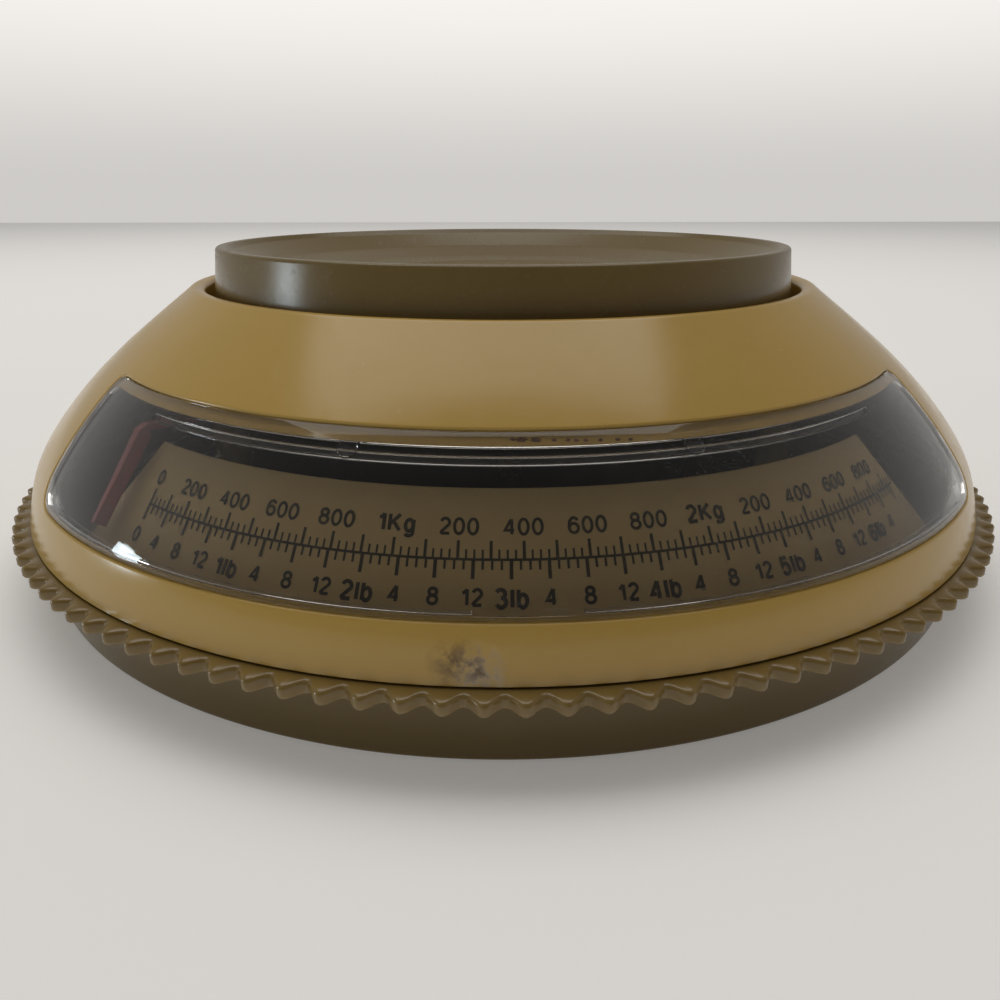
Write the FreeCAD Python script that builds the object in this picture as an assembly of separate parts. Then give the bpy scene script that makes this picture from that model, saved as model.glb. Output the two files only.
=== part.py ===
import FreeCAD, Part
import math
import os

# Mechanical kitchen scale: a round weighing pan on a domed cover, a wrap-round window with a conical
# dial behind it, a red pointer, and a toothed ring at the foot that turns the dial to set zero.
# Millimetres. +Z is up, the origin is at the centre of the foot plane, and the window faces -Y.
# An azimuth is measured from the front (-Y) towards +X, seen from above.

# ---- driving dimensions ----
ring_tip_r = 110.0
ring_root_r = 107.3
ring_inner_r = 90.5
ring_bottom = 12.0
ring_top = 14.3
ring_teeth = 125
ring_tooth_phase = -0.33
ring_travel_deg = 15.0

foot_gap = 0.4
foot_recess = 1.0
floor_top = 3.0
base_foot_r = 103.6
base_chamfer = 0.7
base_rim_r = 103.4
base_rim_top = 11.6
base_wall = 2.2
rib_outer_r = 98.7
rib_inner_r = 95.8
rib_top = 11.2
foot_r = 7.0
foot_stem_r = 3.0
foot_ring_r = 86.0
foot_azimuths = (45, 135, 225, 315)
lug_half_w = 3.0

cover_screw_head_r = 3.0
cover_screw_seat = 3.8
self_tap_r = 1.25
clear_hole_r = 1.6

dome = [(106.6, 14.7), (104.5, 23.0), (100.0, 30.5), (93.7, 37.9), (87.0, 44.3), (79.0, 50.9), (72.6, 55.9)]
cover_wall = 2.2
lip_crest = (70.2, 57.4)
collar_r = 68.0
collar_wall = 2.0
well_top = 44.5
well_bottom = 42.5
well_hole_r = 9.0
post_r = 4.2
post_ring_r = 66.0
post_azimuths = (75, 150, 210, 285)
post_bottom = 6.0

window_bottom = (104.5, 23.0)
window_top = (87.0, 44.3)
window_bottom_azimuth = 55.2
window_top_azimuth = 57.6
window_fit = 0.15
ledge_depth = 1.2
ledge_side = 0.7
ledge_top = 2.3
lens_wall = 2.4

dial_top = (86.7, 35.0)
dial_slope = math.radians(34.1)
dial_wall = 1.5
dial_top_azimuth = 44.0
dial_bottom_azimuth = 51.5
dial_foot_r = 91.0
dial_screw_r = 0.8
dial_screw_ring_r = 93.4

pan_rim_top = 65.5
pan_rim_r = 65.2
pan_skirt_r = 66.5
pan_skirt_bottom = 52.0
pan_wall = 1.9
pan_floor_top = 57.8
pan_flat_r = 41.0

press_travel = 5.0
pointer_azimuth = -46.3

chassis_bottom = 6.0
chassis_top = 7.5
chassis_r = 46.0
chassis_screw_r = 43.0
chassis_screw_azimuths = (60, 180, 300)

drum_r = 40.0
drum_wall = 1.5
drum_top = 35.1
boss_r = 3.2
boss_z = 22.0
boss_l = 2.0
adjuster_shank_r = 1.0

tower_r = 4.5
tower_bore_r = 3.05
tower_top = 40.8
plunger_r = 3.0
plunger_bottom = 13.0

crank_short = 8.37
crank_long = 18.7
pivot_x = crank_short
pivot_z = 13.0
crank_y = (12.0, 13.5)
crank_pin_r = 1.0
pivot_pin_r = 1.5
collar_bottom = 14.2
collar_top = 17.0
bridge_bottom = 27.0
bridge_top = 28.5
bridge_post_x = 20.0
bridge_post_y = -4.0

gear_teeth = 20
gear_pitch_r = 7.0
gear_bottom = 29.8
gear_top = 33.0
rack_bottom = 30.0
rack_top = 32.4
rack_back = 10.5

platform_r = 52.0
platform_top = 55.5
platform_plate = 2.2

Z_AXIS = FreeCAD.Vector(0, 0, 1)
Y_AXIS = FreeCAD.Vector(0, 1, 0)
ORIGIN = FreeCAD.Vector(0, 0, 0)


# ---- helpers ----
def at(radius, azimuth, z):
    """Point at a radius and azimuth, at height z."""
    angle = math.radians(azimuth)
    return FreeCAD.Vector(radius * math.sin(angle), -radius * math.cos(angle), z)


def cylinder(radius, bottom, top, centre=ORIGIN):
    return Part.makeCylinder(radius, top - bottom, FreeCAD.Vector(centre.x, centre.y, bottom))


def tube(outer_r, inner_r, bottom, top, centre=ORIGIN):
    margin = 1.0
    bore = cylinder(inner_r, bottom - margin, top + margin, centre)
    return cylinder(outer_r, bottom, top, centre).cut(bore)


def bar_y(radius, x, z, y_from, y_to):
    """Round bar lying along Y."""
    return Part.makeCylinder(radius, y_to - y_from, FreeCAD.Vector(x, y_from, z), Y_AXIS)


def box(x_range, y_range, z_range):
    corner = FreeCAD.Vector(x_range[0], y_range[0], z_range[0])
    return Part.makeBox(x_range[1] - x_range[0], y_range[1] - y_range[0], z_range[1] - z_range[0], corner)


def profile_point(point):
    """A (radius, z) point in the half plane that faces the front."""
    return FreeCAD.Vector(0, -point[0], point[1])


def polyline_edges(points):
    vectors = [profile_point(point) for point in points]
    return [Part.makeLine(start, end) for start, end in zip(vectors, vectors[1:])]


def smooth_edge(points):
    curve = Part.BSplineCurve()
    curve.interpolate([profile_point(point) for point in points])
    return curve.toShape()


def revolve(edges, half_angle=180.0):
    """Turn a closed (radius, z) outline about Z, centred on the front."""
    face = Part.Face(Part.Wire(edges))
    face.rotate(ORIGIN, Z_AXIS, -half_angle)
    return face.revolve(ORIGIN, Z_AXIS, 2 * half_angle)


def offset_points(points, depth):
    """The outline's points moved inwards along its normals."""
    moved = []
    for index, point in enumerate(points):
        before = points[max(index - 1, 0)]
        after = points[min(index + 1, len(points) - 1)]
        run = after[0] - before[0]
        rise = after[1] - before[1]
        length = math.hypot(run, rise)
        moved.append((point[0] - depth * rise / length, point[1] + depth * run / length))
    return moved


window_slope = math.hypot(window_bottom[0] - window_top[0], window_top[1] - window_bottom[1])
slope_run = (window_bottom[0] - window_top[0]) / window_slope
slope_rise = (window_top[1] - window_bottom[1]) / window_slope


def dome_normal(point):
    index = dome.index(point)
    inward = offset_points(dome, 1.0)[index]
    return (point[0] - inward[0], point[1] - inward[1])


def along_normal(point, distance):
    normal = dome_normal(point)
    return (point[0] + distance * normal[0], point[1] + distance * normal[1])


def half_space(point, inward):
    """Large solid on the inward side of the plane through point."""
    size = 400.0
    return Part.makeCylinder(size, size, point, inward)


def side_trim(shape, low, high, low_azimuth, high_azimuth, inset):
    """Cut both ends of a front sector along planes through its slanted end lines."""
    for side in (-1, 1):
        low_point = at(low[0], side * low_azimuth, low[1])
        high_point = at(high[0], side * high_azimuth, high[1])
        middle = side * (low_azimuth + high_azimuth) / 2
        outward = at(high[1] - low[1], middle, low[0] - high[0])
        normal = (high_point - low_point).cross(outward)
        normal.normalize()
        if normal.x * side > 0:
            normal = -normal
        shape = shape.common(half_space(low_point + normal * inset, normal))
    return shape


def screw(head_r, head_h, shank_r, shank_l):
    """Pan-head screw with a cross recess: its head rests on z = 0 and its shank points down."""
    slot_w = 0.25 * head_r
    slot_l = 0.7 * head_r
    recess = (0.4 * head_h, head_h)
    head = cylinder(head_r, 0, head_h)
    head = head.makeFillet(0.35 * head_h, [edge for edge in head.Edges if edge.CenterOfMass.z > 0.9 * head_h])
    head = head.cut(box((-slot_l, slot_l), (-slot_w, slot_w), recess))
    head = head.cut(box((-slot_w, slot_w), (-slot_l, slot_l), recess))
    return head.fuse(cylinder(shank_r, -shank_l, 0)).removeSplitter()


def screws_up(points, *sizes):
    """Screws whose heads are underneath, pointing up."""
    made = []
    for point in points:
        piece = screw(*sizes)
        piece.rotate(ORIGIN, FreeCAD.Vector(1, 0, 0), 180)
        piece.translate(point)
        made.append(piece)
    return made


def screws_down(points, *sizes):
    made = []
    for point in points:
        piece = screw(*sizes)
        piece.translate(point)
        made.append(piece)
    return made


def save(name, shape):
    solids = shape if isinstance(shape, list) else shape.Solids
    for solid in solids:
        if not solid.isValid():
            raise ValueError(name + " is not a valid solid")
    result = solids[0] if len(solids) == 1 else Part.makeCompound(solids)
    result.exportStep(os.path.join("parts", name + ".step"))
    print(name, len(solids), round(sum(solid.Volume for solid in solids)))


# ---- base, feet and the fixed chassis ----
foot_points = [at(foot_ring_r, azimuth, 0) for azimuth in foot_azimuths]


def base_tray():
    outer = [
        (0, foot_gap), (base_foot_r - base_chamfer, foot_gap), (base_foot_r, foot_gap + base_chamfer),
        (base_rim_r, base_rim_top), (base_rim_r - base_wall, base_rim_top),
        (base_rim_r - base_wall, floor_top), (rib_outer_r, floor_top), (rib_outer_r, rib_top),
        (rib_inner_r, rib_top), (rib_inner_r, floor_top), (0, floor_top), (0, foot_gap),
    ]
    tray = revolve(polyline_edges(outer))
    for azimuth in post_azimuths:
        centre = at(post_ring_r, azimuth, 0)
        tray = tray.fuse(cylinder(post_r + 1.3, foot_gap, post_bottom, centre))
        tray = tray.cut(cylinder(clear_hole_r, 0, post_bottom + 1, centre))
        tray = tray.cut(cylinder(cover_screw_head_r + 0.3, 0, cover_screw_seat, centre))
    for azimuth in chassis_screw_azimuths:
        centre = at(chassis_screw_r, azimuth, 0)
        tray = tray.fuse(cylinder(4.0, floor_top - 1, chassis_bottom, centre))
        tray = tray.cut(cylinder(self_tap_r, floor_top, chassis_bottom + 1, centre))
    for centre in foot_points:
        tray = tray.cut(cylinder(foot_stem_r, 0, floor_top + 1, centre))
        tray = tray.cut(cylinder(foot_r + 0.1, 0, foot_gap + foot_recess, centre))
    return tray.cut(stop_gap(floor_top, rib_top + 1)).removeSplitter()


def stop_gap(bottom, top):
    """Space at the back where the zero ring's lug travels between its two stops."""
    lug_half_deg = math.degrees(lug_half_w / rib_inner_r)
    half_angle = ring_travel_deg + lug_half_deg + 0.4
    outline = [
        (rib_inner_r - 2, bottom), (rib_outer_r + 0.1, bottom), (rib_outer_r + 0.1, top),
        (rib_inner_r - 2, top), (rib_inner_r - 2, bottom),
    ]
    gap = revolve(polyline_edges(outline), half_angle)
    gap.rotate(ORIGIN, Z_AXIS, 180)
    return gap


def rubber_feet():
    feet = []
    for centre in foot_points:
        pad = cylinder(foot_r, 0, foot_gap + foot_recess, centre)
        stem = cylinder(foot_stem_r, foot_gap, floor_top, centre)
        barb = Part.makeCone(foot_stem_r + 0.8, foot_stem_r - 0.8, 1.6,
                             FreeCAD.Vector(centre.x, centre.y, floor_top))
        feet.append(pad.fuse([stem, barb]).removeSplitter())
    return feet


def chassis_plate():
    plate = cylinder(chassis_r, chassis_bottom, chassis_top)
    for azimuth in chassis_screw_azimuths:
        plate = plate.cut(cylinder(clear_hole_r, 0, chassis_top + 1, at(chassis_screw_r, azimuth, 0)))
    for azimuth in (0, 120, 240):
        plate = plate.cut(cylinder(7.0, 0, chassis_top + 1, at(28.0, azimuth, 0)))
    return plate


def mechanism_housing():
    ear_h = 1.5
    hub_hole_r = 6.8
    housing = cylinder(drum_r, chassis_top, drum_top)
    for azimuth in chassis_screw_azimuths:
        centre = at(chassis_screw_r, azimuth, 0)
        housing = housing.fuse(cylinder(4.5, chassis_top, chassis_top + ear_h, centre))
        housing = housing.cut(cylinder(clear_hole_r, 0, chassis_top + ear_h + 1, centre))
    housing = housing.fuse(bar_y(boss_r, 0, boss_z, -drum_r - boss_l, -drum_r + 1))
    housing = housing.cut(cylinder(drum_r - drum_wall, 0, drum_top - drum_wall))
    housing = housing.cut(cylinder(hub_hole_r, 0, drum_top + 1))
    housing = housing.cut(bar_y(adjuster_shank_r, 0, boss_z, -drum_r - boss_l - 1, 0))
    return housing.removeSplitter()


def calibration_screw():
    piece = screw(2.4, 1.4, adjuster_shank_r, 8.0)
    piece.rotate(ORIGIN, FreeCAD.Vector(1, 0, 0), 90)
    piece.translate(FreeCAD.Vector(0, -drum_r - boss_l, boss_z))
    return piece


# ---- the zero ring, its friction spring and the dial ----
def tooth_outline():
    """Wire of rounded teeth with broad round valleys."""
    pitch = 360.0 / ring_teeth
    flank_r = 109.1
    flank_share = 0.16
    edges = []
    for index in range(ring_teeth):
        tip = ring_tooth_phase + index * pitch
        flank = flank_share * pitch
        start = at(flank_r, tip - flank, 0)
        end = at(flank_r, tip + flank, 0)
        following = at(flank_r, tip + pitch - flank, 0)
        edges.append(Part.Arc(start, at(ring_tip_r, tip, 0), end).toShape())
        edges.append(Part.Arc(end, at(ring_root_r, tip + pitch / 2, 0), following).toShape())
    return Part.Wire(edges)


def zero_ring():
    skirt_outer_r = 100.7
    skirt_inner_r = 99.2
    skirt_bottom = 9.0
    face = Part.Face(tooth_outline())
    ring = face.extrude(Z_AXIS * (ring_top - ring_bottom))
    ring.translate(Z_AXIS * ring_bottom)
    ring = ring.fuse(cylinder(skirt_outer_r, skirt_bottom, ring_bottom))
    ring = ring.cut(cylinder(skirt_inner_r, 0, ring_bottom))
    lug = box((-lug_half_w, lug_half_w), (94.0, 99.6), (skirt_bottom, ring_bottom))
    ring = ring.fuse(lug)
    ring = ring.cut(cylinder(ring_inner_r, 0, ring_top + 1))
    for point in dial_screw_points:
        ring = ring.cut(cylinder(dial_screw_r, 0, ring_top + 1, point))
    return ring.removeSplitter()


def ring_spring():
    spring = tube(rib_outer_r - 0.4, rib_inner_r + 0.4, rib_top, rib_top + 0.5)
    return spring.cut(stop_gap(rib_top - 1, rib_top + 2))


dial_screw_points = [at(dial_screw_ring_r, azimuth, ring_bottom) for azimuth in (-30, 0, 30)]


def dial_plate():
    top_r, top_z = dial_top
    bottom_r = top_r + (top_z - ring_top) * math.tan(dial_slope)
    inner_top = (top_r - dial_wall * math.cos(dial_slope), top_z - dial_wall * math.sin(dial_slope))
    foot_top = ring_top + dial_wall
    inner_bottom = (inner_top[0] + (inner_top[1] - foot_top) * math.tan(dial_slope), foot_top)
    outline = [
        (bottom_r, ring_top), dial_top, inner_top, inner_bottom, (dial_foot_r, foot_top),
        (dial_foot_r, ring_top), (bottom_r, ring_top),
    ]
    dial = revolve(polyline_edges(outline), dial_bottom_azimuth + 3)
    dial = side_trim(dial, (bottom_r, ring_top), dial_top, dial_bottom_azimuth, dial_top_azimuth, 0)
    for point in dial_screw_points:
        dial = dial.cut(cylinder(dial_screw_r, 0, foot_top + 1, point))
    return dial


# ---- cover and window ----
def dome_layer(outer_depth, inner_depth):
    """The part of the dome wall between two depths below its outer surface."""
    outer = offset_points(dome, outer_depth)
    inner = offset_points(dome, inner_depth)
    edges = [smooth_edge(outer), smooth_edge(inner)]
    edges += polyline_edges([outer[0], inner[0]])
    edges += polyline_edges([outer[-1], inner[-1]])
    return revolve(Part.sortEdges(edges)[0], window_top_azimuth + 8)


def window_block(inset, top_inset=None):
    """Solid that holds everything inside the window's outline, drawn in by the insets."""
    reach = 8.0
    low = [along_normal(window_bottom, distance) for distance in (reach, -reach)]
    high = [along_normal(window_top, distance) for distance in (-reach, reach)]
    low = [(point[0] - inset * slope_run, point[1] + inset * slope_rise) for point in low]
    drop = inset if top_inset is None else top_inset
    high = [(point[0] + drop * slope_run, point[1] - drop * slope_rise) for point in high]
    block = revolve(polyline_edges(low + high + low[:1]), window_top_azimuth + 8)
    block = side_trim(block, window_bottom, window_top, window_bottom_azimuth, window_top_azimuth, inset)
    middle_z = (window_bottom[1] + window_top[1]) / 2
    for is_low, radius in ((True, 7.0 - inset), (False, 3.5 - inset)):
        corners = [
            edge for edge in block.Edges
            if edge.Length < 1.15 * 2 * reach and (edge.CenterOfMass.z < middle_z) == is_low
        ]
        block = block.makeFillet(radius, corners)
    return block


def window_rib(edge_point, towards, distances, depths, half_angle):
    """Rib inside the window, running round it at a distance from an edge towards another outline point."""
    length = math.hypot(towards[0] - edge_point[0], towards[1] - edge_point[1])
    run = (towards[0] - edge_point[0]) / length
    rise = (towards[1] - edge_point[1]) / length
    corners = []
    for distance, depth in ((distances[0], depths[0]), (distances[1], depths[0]),
                            (distances[1], depths[1]), (distances[0], depths[1])):
        start = along_normal(edge_point, -depth)
        corners.append((start[0] + distance * run, start[1] + distance * rise))
    return revolve(polyline_edges(corners + corners[:1]), half_angle)


def cover_shell():
    inner = offset_points(dome, cover_wall)
    inner[0] = (inner[0][0], dome[0][1])
    crest = Part.Arc(profile_point(dome[-1]), profile_point(lip_crest), profile_point((collar_r, 55.6)))
    collar_outer_r = collar_r + collar_wall
    inside = [inner[-1], (collar_outer_r, inner[-1][1] - 0.5), (collar_outer_r, well_bottom),
              (well_hole_r, well_bottom), (well_hole_r, well_top), (collar_r, well_top), (collar_r, 55.6)]
    edges = [smooth_edge(dome), crest.toShape(), smooth_edge(inner)]
    edges += polyline_edges(inside)
    edges += polyline_edges([dome[0], inner[0]])
    cover = revolve(Part.sortEdges(edges)[0])
    screw_depth = 9.0
    for azimuth in post_azimuths:
        centre = at(post_ring_r, azimuth, 0)
        cover = cover.fuse(cylinder(post_r, post_bottom, well_bottom + 1, centre))
        cover = cover.cut(cylinder(self_tap_r, 0, post_bottom + screw_depth, centre))
    pocket = dome_layer(-1.0, ledge_depth).common(window_block(0))
    cover = cover.cut(pocket)
    return cover.cut(window_block(ledge_side, ledge_top)).removeSplitter()


def window_lens():
    """Clear lens flush in the cover's rebate, with a rib along its top, two pegs and a notched lower rib."""
    peg_r = 1.6
    peg_l = 0.9
    peg_drop = 3.2
    peg_root = 0.3
    peg_azimuth = 17
    top_rib_half_angle = 43.3
    low_rib_half_angle = 50
    notch_half_w = 7.5
    face = dome_layer(0.0, ledge_depth - 0.1).common(window_block(window_fit))
    body = dome_layer(ledge_depth - 0.2, lens_wall)
    body = body.common(window_block(ledge_side + window_fit, ledge_top + window_fit))
    top_rib = window_rib(window_top, dome[3], (3.4, 4.6), (lens_wall - 0.4, 3.8), top_rib_half_angle)
    low_rib = window_rib(window_bottom, dome[2], (0.95, 1.5), (lens_wall - 0.8, 3.4), low_rib_half_angle)
    notch = box((-notch_half_w, notch_half_w), (-window_bottom[0], 0), (0, window_top[1]))
    lens = face.fuse([body, top_rib, low_rib.cut(notch)])
    for azimuth in (-peg_azimuth, peg_azimuth):
        root = along_normal(window_top, peg_root - lens_wall)
        start = at(root[0] + peg_drop * slope_run, azimuth, root[1] - peg_drop * slope_rise)
        direction = at(-dome_normal(window_top)[0], azimuth, -dome_normal(window_top)[1])
        lens = lens.fuse(Part.makeCylinder(peg_r, peg_l, start, direction))
    return lens.removeSplitter()


# ---- mechanism: plunger, spring, bell crank, rack and pointer ----
crank_swing = math.atan(press_travel / 2 / crank_short)
cross_pin_z = pivot_z + press_travel / 2
rack_pin_x = pivot_x + crank_long * math.tan(crank_swing)
rack_pin_z = pivot_z + crank_long
bridge_post_points = [FreeCAD.Vector(side * bridge_post_x, bridge_post_y, 0) for side in (-1, 1)]


def guide_tower():
    slot_half_w = crank_pin_r + 0.15
    tower = tube(tower_r, tower_bore_r, chassis_top, tower_top)
    tower = tower.fuse(tube(8.0, tower_bore_r, chassis_top, chassis_top + 1.2))
    slot_z = (cross_pin_z - press_travel - crank_pin_r - 0.3, cross_pin_z + crank_pin_r + 0.3)
    return tower.cut(box((-slot_half_w, slot_half_w), (-tower_r - 1, tower_r + 1), slot_z)).removeSplitter()


def bridge_plate():
    plate = box((-25, 25), (-8.5, 11.0), (bridge_bottom, bridge_top))
    corners = [edge for edge in plate.Edges if abs(edge.Length - (bridge_top - bridge_bottom)) < 0.01]
    plate = plate.makeFillet(3.0, corners)
    plate = plate.cut(cylinder(tower_r, 0, bridge_top + 1))
    for point in bridge_post_points:
        plate = plate.cut(cylinder(1.2, 0, bridge_top + 1, point))
    return plate


def bridge_posts():
    return [tube(2.6, 1.0, chassis_top, bridge_bottom, point) for point in bridge_post_points]


def rack_guides():
    """Two channels that carry the rack's back and underside, open towards the gear."""
    rack_clear = 0.3
    guides = []
    for x_range in ((-8.0, -4.2), (17.2, 20.6)):
        block = box(x_range, (7.6, 11.9), (bridge_top, gear_top + 0.3))
        channel = box((x_range[0] - 1, x_range[1] + 1), (0, rack_back + rack_clear),
                      (rack_bottom - rack_clear, rack_top + rack_clear))
        guides.append(block.cut(channel))
    return guides


def crank_bracket():
    """U-shaped bracket that holds the crank's pivot pin on both sides."""
    x_range = (pivot_x - 3.5, pivot_x + 3.5)
    ear_top = pivot_z + 3.0
    bracket = box(x_range, (10.3, 15.2), (chassis_top, chassis_top + 1.2))
    for y_range in ((10.3, 11.5), (14.0, 15.2)):
        bracket = bracket.fuse(box(x_range, y_range, (chassis_top, ear_top)))
    return bracket.cut(bar_y(pivot_pin_r, pivot_x, pivot_z, 9, 17)).removeSplitter()


def crank_pivot_pin():
    return bar_y(pivot_pin_r, pivot_x, pivot_z, 9.8, 15.7)


def forked_arm(length):
    """Arm along +Z from the pivot, whose open fork takes a round pin at the given distance."""
    half_w = 2.4
    slot_half_w = crank_pin_r + 0.12
    slot_low = length - 0.2
    fork_end = length + 1.4
    arm = box((-half_w, half_w), crank_y, (0, fork_end))
    slot = box((-slot_half_w, slot_half_w), (0, 20), (slot_low, fork_end + 1))
    return arm.cut(slot.fuse(bar_y(slot_half_w, 0, slot_low, 0, 20)))


def bell_crank():
    short_arm = forked_arm(crank_short)
    short_arm.rotate(ORIGIN, Y_AXIS, -90)
    crank = forked_arm(crank_long).fuse([short_arm, bar_y(3.4, 0, 0, *crank_y)])
    crank = crank.cut(bar_y(pivot_pin_r + 0.05, 0, 0, 0, 20))
    crank.rotate(ORIGIN, Y_AXIS, math.degrees(crank_swing))
    crank.translate(FreeCAD.Vector(pivot_x, 0, pivot_z))
    return crank.removeSplitter()


def rack_bar():
    """Toothed bar that moves towards -X, meshing with the gear at +Y."""
    pitch = 2 * math.pi * gear_pitch_r / gear_teeth
    addendum = 0.62
    dedendum = 0.85
    tip_half = 0.18
    root_half = 0.72
    tooth_tip = gear_pitch_r - addendum
    tooth_root = gear_pitch_r + dedendum
    bar = box((-8.0, 31.0), (tooth_root, rack_back), (rack_bottom, rack_top))
    for index in range(-3, 8):
        x = (index + 0.5) * pitch
        corners = [(x - root_half, tooth_root + 0.1), (x - root_half, tooth_root), (x - tip_half, tooth_tip),
                   (x + tip_half, tooth_tip), (x + root_half, tooth_root), (x + root_half, tooth_root + 0.1)]
        bar = bar.fuse(prism(corners, rack_bottom, rack_top))
    return bar.cut(bar_y(crank_pin_r, rack_pin_x, rack_pin_z, tooth_root, 20)).removeSplitter()


def prism(corners, bottom, top):
    """Straight block over a closed (x, y) outline."""
    points = [FreeCAD.Vector(x, y, bottom) for x, y in corners]
    return Part.Face(Part.makePolygon(points + points[:1])).extrude(Z_AXIS * (top - bottom))


def rack_pin():
    return bar_y(crank_pin_r, rack_pin_x, rack_pin_z, rack_back - 2.0, 14.3)


def pointer_gear():
    """Gear and hub in one, turning on the tower."""
    addendum = 0.62
    root_r = gear_pitch_r - 0.85
    tip_half = 0.18
    root_half = 0.62
    hub_r = 5.8
    hub_top = 39.0
    outline = []
    for index in range(gear_teeth):
        turn = 2 * math.pi * index / gear_teeth
        for radius, half in ((root_r, -root_half), (gear_pitch_r + addendum, -tip_half),
                             (gear_pitch_r + addendum, tip_half), (root_r, root_half)):
            x = radius * math.cos(turn) - half * math.sin(turn)
            y = radius * math.sin(turn) + half * math.cos(turn)
            outline.append((x, y))
    gear = prism(outline, gear_bottom, gear_top)
    gear = gear.fuse(cylinder(hub_r, gear_bottom, hub_top))
    return gear.cut(cylinder(tower_r + 0.05, 0, hub_top + 1)).removeSplitter()


def pointer():
    """Flat arm over the dial's top edge, with a blade that hangs in front of the dial."""
    arm_z = (36.5, 37.7)
    hub_r = 5.8
    boss_outer_r = 9.0
    tail_r = 28.0
    off_dial = 2.3
    blade_l = 17.2
    blade_half_t = 1.1
    blade_top = (dial_top[0] + off_dial * math.cos(dial_slope), dial_top[1] + off_dial * math.sin(dial_slope))
    arm_end = blade_top[0] - 0.2
    arm = prism([(-3.0, 0), (-1.0, -arm_end), (1.0, -arm_end), (3.0, 0)], *arm_z)
    tail = prism([(-2.5, 0), (-7.0, tail_r), (7.0, tail_r), (2.5, 0)], *arm_z)
    sections = []
    for along, half_w in ((-1.1, 1.0), (blade_l, 0.45)):
        radius = blade_top[0] + along * math.sin(dial_slope)
        z = blade_top[1] - along * math.cos(dial_slope)
        side = blade_half_t * math.cos(dial_slope)
        rise = blade_half_t * math.sin(dial_slope)
        corners = [
            FreeCAD.Vector(-half_w, -radius - side, z + rise),
            FreeCAD.Vector(half_w, -radius - side, z + rise),
            FreeCAD.Vector(half_w, -radius + side, z - rise),
            FreeCAD.Vector(-half_w, -radius + side, z - rise),
        ]
        sections.append(Part.makePolygon(corners + corners[:1]))
    blade = Part.makeLoft(sections, True, True)
    shape = cylinder(boss_outer_r, *arm_z).fuse([arm, tail, blade])
    shape = shape.cut(cylinder(hub_r, 0, arm_z[1] + 1))
    shape.rotate(ORIGIN, Z_AXIS, pointer_azimuth)
    return shape.removeSplitter()


def retaining_clip():
    clip = tube(6.6, tower_r, 39.3, 40.0)
    return clip.cut(box((-1.5, 1.5), (0, 8), (39, 41)))


def main_spring():
    """Coil around the tower, pulled longer as the plunger goes down."""
    wire_r = 0.55
    coil_r = 6.2
    seat_gap = 0.3
    low = collar_top + seat_gap + wire_r
    high = bridge_bottom - wire_r
    turns = 6
    helix = Part.makeHelix((high - low) / turns, high - low, coil_r)
    section = Part.Wire(Part.makeCircle(wire_r, FreeCAD.Vector(coil_r, 0, 0), Y_AXIS))
    coil = Part.Wire(helix).makePipeShell([section], True, True)
    coil.translate(Z_AXIS * low)
    return coil


def spring_collar():
    collar = tube(7.6, tower_r + 0.5, collar_bottom, collar_top)
    return collar.cut(bar_y(crank_pin_r, 0, cross_pin_z, -10, 10))


def plunger():
    rod = cylinder(plunger_r, plunger_bottom, platform_top - platform_plate)
    rod = rod.cut(bar_y(crank_pin_r, 0, cross_pin_z, -5, 5))
    return rod.cut(cylinder(self_tap_r, platform_top - 12, platform_top))


def cross_pin():
    return bar_y(crank_pin_r, 0, cross_pin_z, -7.6, 14.3)


# ---- platform and pan ----
def load_platform():
    hub_r = 7.0
    hub_bottom = 47.5
    rim_bottom = 50.5
    rim_wall = 2.0
    rib_count = 6
    plate_bottom = platform_top - platform_plate
    platform = cylinder(platform_r, plate_bottom, platform_top)
    platform = platform.fuse(tube(platform_r, platform_r - rim_wall, rim_bottom, plate_bottom))
    platform = platform.fuse(cylinder(hub_r, hub_bottom, plate_bottom))
    for index in range(rib_count):
        rib = box((-0.9, 0.9), (-platform_r + 1, -hub_r + 1), (rim_bottom + 0.5, plate_bottom))
        rib.rotate(ORIGIN, Z_AXIS, 360 * index / rib_count)
        platform = platform.fuse(rib)
    platform = platform.cut(cylinder(plunger_r, 0, plate_bottom))
    platform = platform.cut(cylinder(3.2, plate_bottom, platform_top + 1))
    return platform.removeSplitter()


def weighing_pan():
    """Dished pan with a rounded rim, an outer skirt and a ring under it that fits round the platform."""
    rim_centre_r = pan_rim_r - pan_wall / 2
    rim_start_z = pan_rim_top - pan_wall / 2
    dish_edge = (pan_flat_r + 3.0, pan_floor_top + 0.4)
    floor_bottom = platform_top + 0.2
    locator = (platform_r + 0.6, platform_r + 2.0)
    rim = Part.Arc(profile_point((pan_rim_r, rim_start_z)), profile_point((rim_centre_r, pan_rim_top)),
                   profile_point((pan_rim_r - pan_wall, rim_start_z)))
    dish_top = smooth_edge([(pan_rim_r - pan_wall, rim_start_z), (59.5, 62.6), (51.0, 59.7), dish_edge,
                            (pan_flat_r, pan_floor_top)])
    outline = [
        (pan_flat_r, pan_floor_top), (0, pan_floor_top), (0, floor_bottom), (locator[0], floor_bottom),
        (locator[0], pan_skirt_bottom + 1), (locator[1], pan_skirt_bottom + 1), (locator[1], 58.2),
        (pan_rim_r - pan_wall, 61.9), (pan_skirt_r - pan_wall, pan_skirt_bottom),
        (pan_skirt_r, pan_skirt_bottom), (pan_rim_r, rim_start_z),
    ]
    edges = [rim.toShape(), dish_top] + polyline_edges(outline)
    return revolve(Part.sortEdges(edges)[0])


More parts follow.
